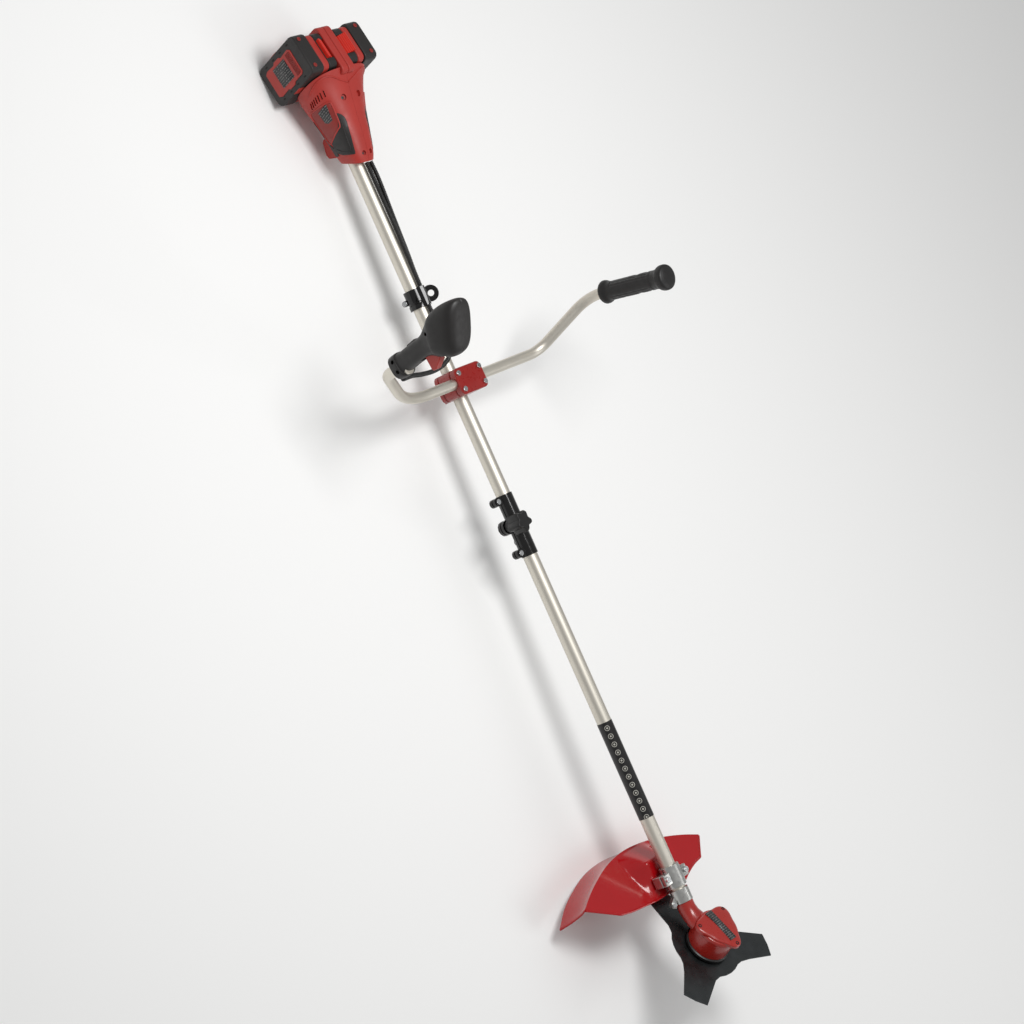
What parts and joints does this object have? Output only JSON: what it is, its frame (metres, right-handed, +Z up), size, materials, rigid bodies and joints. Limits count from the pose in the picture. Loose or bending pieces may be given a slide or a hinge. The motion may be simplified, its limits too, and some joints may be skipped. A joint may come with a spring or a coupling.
{
  "type": "brush cutter",
  "caption": "Cordless brush cutter: rear motor-control housing with slide-on battery packs, two-piece shaft with handlebar, trigger handle, guard and toothed blade on a hub motor.",
  "frame": {"origin": "middle of the footprint, on the ground under the shaft", "axes": "+X along the shaft towards the blade, +Y to the operator's left, +Z up; the machine lies on its battery packs and guard"},
  "size_m": [1.7616, 0.5628, 0.3917],
  "materials": {
    "moulded_red": "fine moulded texture",
    "bright_red": "moulded, satin",
    "gloss_red": "glossy moulded",
    "painted_red": "painted die casting",
    "charcoal": "fine moulded texture",
    "black_plastic": "moulded",
    "gloss_black": "glossy moulded",
    "rubber": "ribbed rubber",
    "tube_aluminium": "satin anodised",
    "cast_silver": "die cast, tumbled",
    "zinc": "zinc plated",
    "steel": "ground",
    "blade_steel": "dark hardened sheet steel",
    "winding": null,
    "board_green": "solder mask"
  },
  "bodies": {
    "machine": {"housing_left_shell": "moulded_red", "housing_right_shell": "moulded_red", "housing_left_inlay": "charcoal", "housing_right_inlay": "charcoal", "contact_block_left": "black_plastic", "contact_block_right": "black_plastic", "controller_board": "board_green", "upper_tube": "tube_aluminium", "handle_lead": "black_plastic", "power_lead": "black_plastic", "lead_grommet": "black_plastic", "sling_clamp": "gloss_black", "sling_clamp_screw": "zinc", "handlebar": "tube_aluminium", "plain_grip": "rubber", "bracket_base": "gloss_red", "bracket_middle": "gloss_red", "bracket_cap": "gloss_red", "bracket_bolt_1": "zinc", "bracket_bolt_2": "zinc", "bracket_bolt_3": "zinc", "bracket_bolt_4": "zinc", "trigger_handle_left_shell": "charcoal", "trigger_handle_right_shell": "charcoal", "trigger_switch": "black_plastic", "coupling_body": "gloss_black", "coupling_screw_rear": "zinc", "coupling_screw_front": "zinc"},
    "battery_left": {"battery_left_case": "charcoal", "battery_left_band": "moulded_red", "battery_left_rail_cap": "charcoal"},
    "battery_right": {"battery_right_case": "charcoal", "battery_right_band": "moulded_red", "battery_right_rail_cap": "charcoal"},
    "latch_left": {"battery_left_latch": "bright_red"},
    "latch_right": {"battery_right_latch": "bright_red"},
    "trigger": {"trigger": "moulded_red"},
    "lock_off": {"lock_off_lever": "charcoal"},
    "knob": {"coupling_knob": "black_plastic"},
    "release_button": {"spring_button": "zinc"},
    "lower_shaft": {"lower_tube": "tube_aluminium", "label_sleeve": "black_plastic", "guard": "gloss_red", "guard_clamp_upper": "cast_silver", "guard_clamp_lower": "cast_silver", "guard_bolt_left": "zinc", "guard_bolt_right": "zinc", "neck_bracket": "cast_silver", "neck_screw": "zinc", "motor_housing": "painted_red", "motor_cap": "painted_red", "motor_base_ring": "black_plastic", "spindle_bearing": "zinc", "motor_stator": "winding"},
    "blade": {"rotor_spindle": "steel", "blade_flange": "steel", "blade": "blade_steel", "blade_nut": "zinc"}
  },
  "joints": [
    {"name": "battery_left_slide", "type": "slide", "parent": "machine", "child": "battery_left", "axis": [-0.2638, 0, 0.9646], "range_m": [0, 0.12]},
    {"name": "battery_right_slide", "type": "slide", "parent": "machine", "child": "battery_right", "axis": [-0.2638, 0, 0.9646], "range_m": [0, 0.12]},
    {"name": "latch_left_press", "type": "slide", "parent": "battery_left", "child": "latch_left", "axis": [0.2638, 0, -0.9646], "range_m": [0, 0.004], "stiffness_N_per_m": 500, "springref_m": -0.002},
    {"name": "latch_right_press", "type": "slide", "parent": "battery_right", "child": "latch_right", "axis": [0.2638, 0, -0.9646], "range_m": [0, 0.004], "stiffness_N_per_m": 500, "springref_m": -0.002},
    {"name": "trigger_pull", "type": "hinge", "parent": "machine", "child": "trigger", "pos_m": [-0.29671, -0.26144, 0.32817], "axis": [0, 1, 0], "range_deg": [0, 18], "stiffness_Nm_per_rad": 0.4, "springref_deg": -8.59},
    {"name": "lock_off_press", "type": "hinge", "parent": "machine", "child": "lock_off", "pos_m": [-0.32269, -0.26144, 0.29715], "axis": [0, -1, 0], "range_deg": [0, 8], "stiffness_Nm_per_rad": 0.4, "springref_deg": -8.59},
    {"name": "knob_turn", "type": "hinge", "parent": "machine", "child": "knob", "pos_m": [0.02032, -0.03144, 0.09476], "axis": [-0.0574, 0, 0.9983], "range_deg": [0, 720]},
    {"name": "release_button_press", "type": "slide", "parent": "machine", "child": "release_button", "axis": [-0.0548, -0.3011, 0.952], "range_m": [0, 0.0025], "stiffness_N_per_m": 800, "springref_m": -0.002},
    {"name": "shaft_pull", "type": "slide", "parent": "machine", "child": "lower_shaft", "axis": [0.9983, 0, 0.0574], "range_m": [0, 0.045]},
    {"name": "blade_spin", "type": "hinge", "parent": "lower_shaft", "child": "blade", "pos_m": [0.80678, -0.00444, 0.14402], "axis": [-0.5134, 0, 0.8581], "continuous": true}
  ]
}
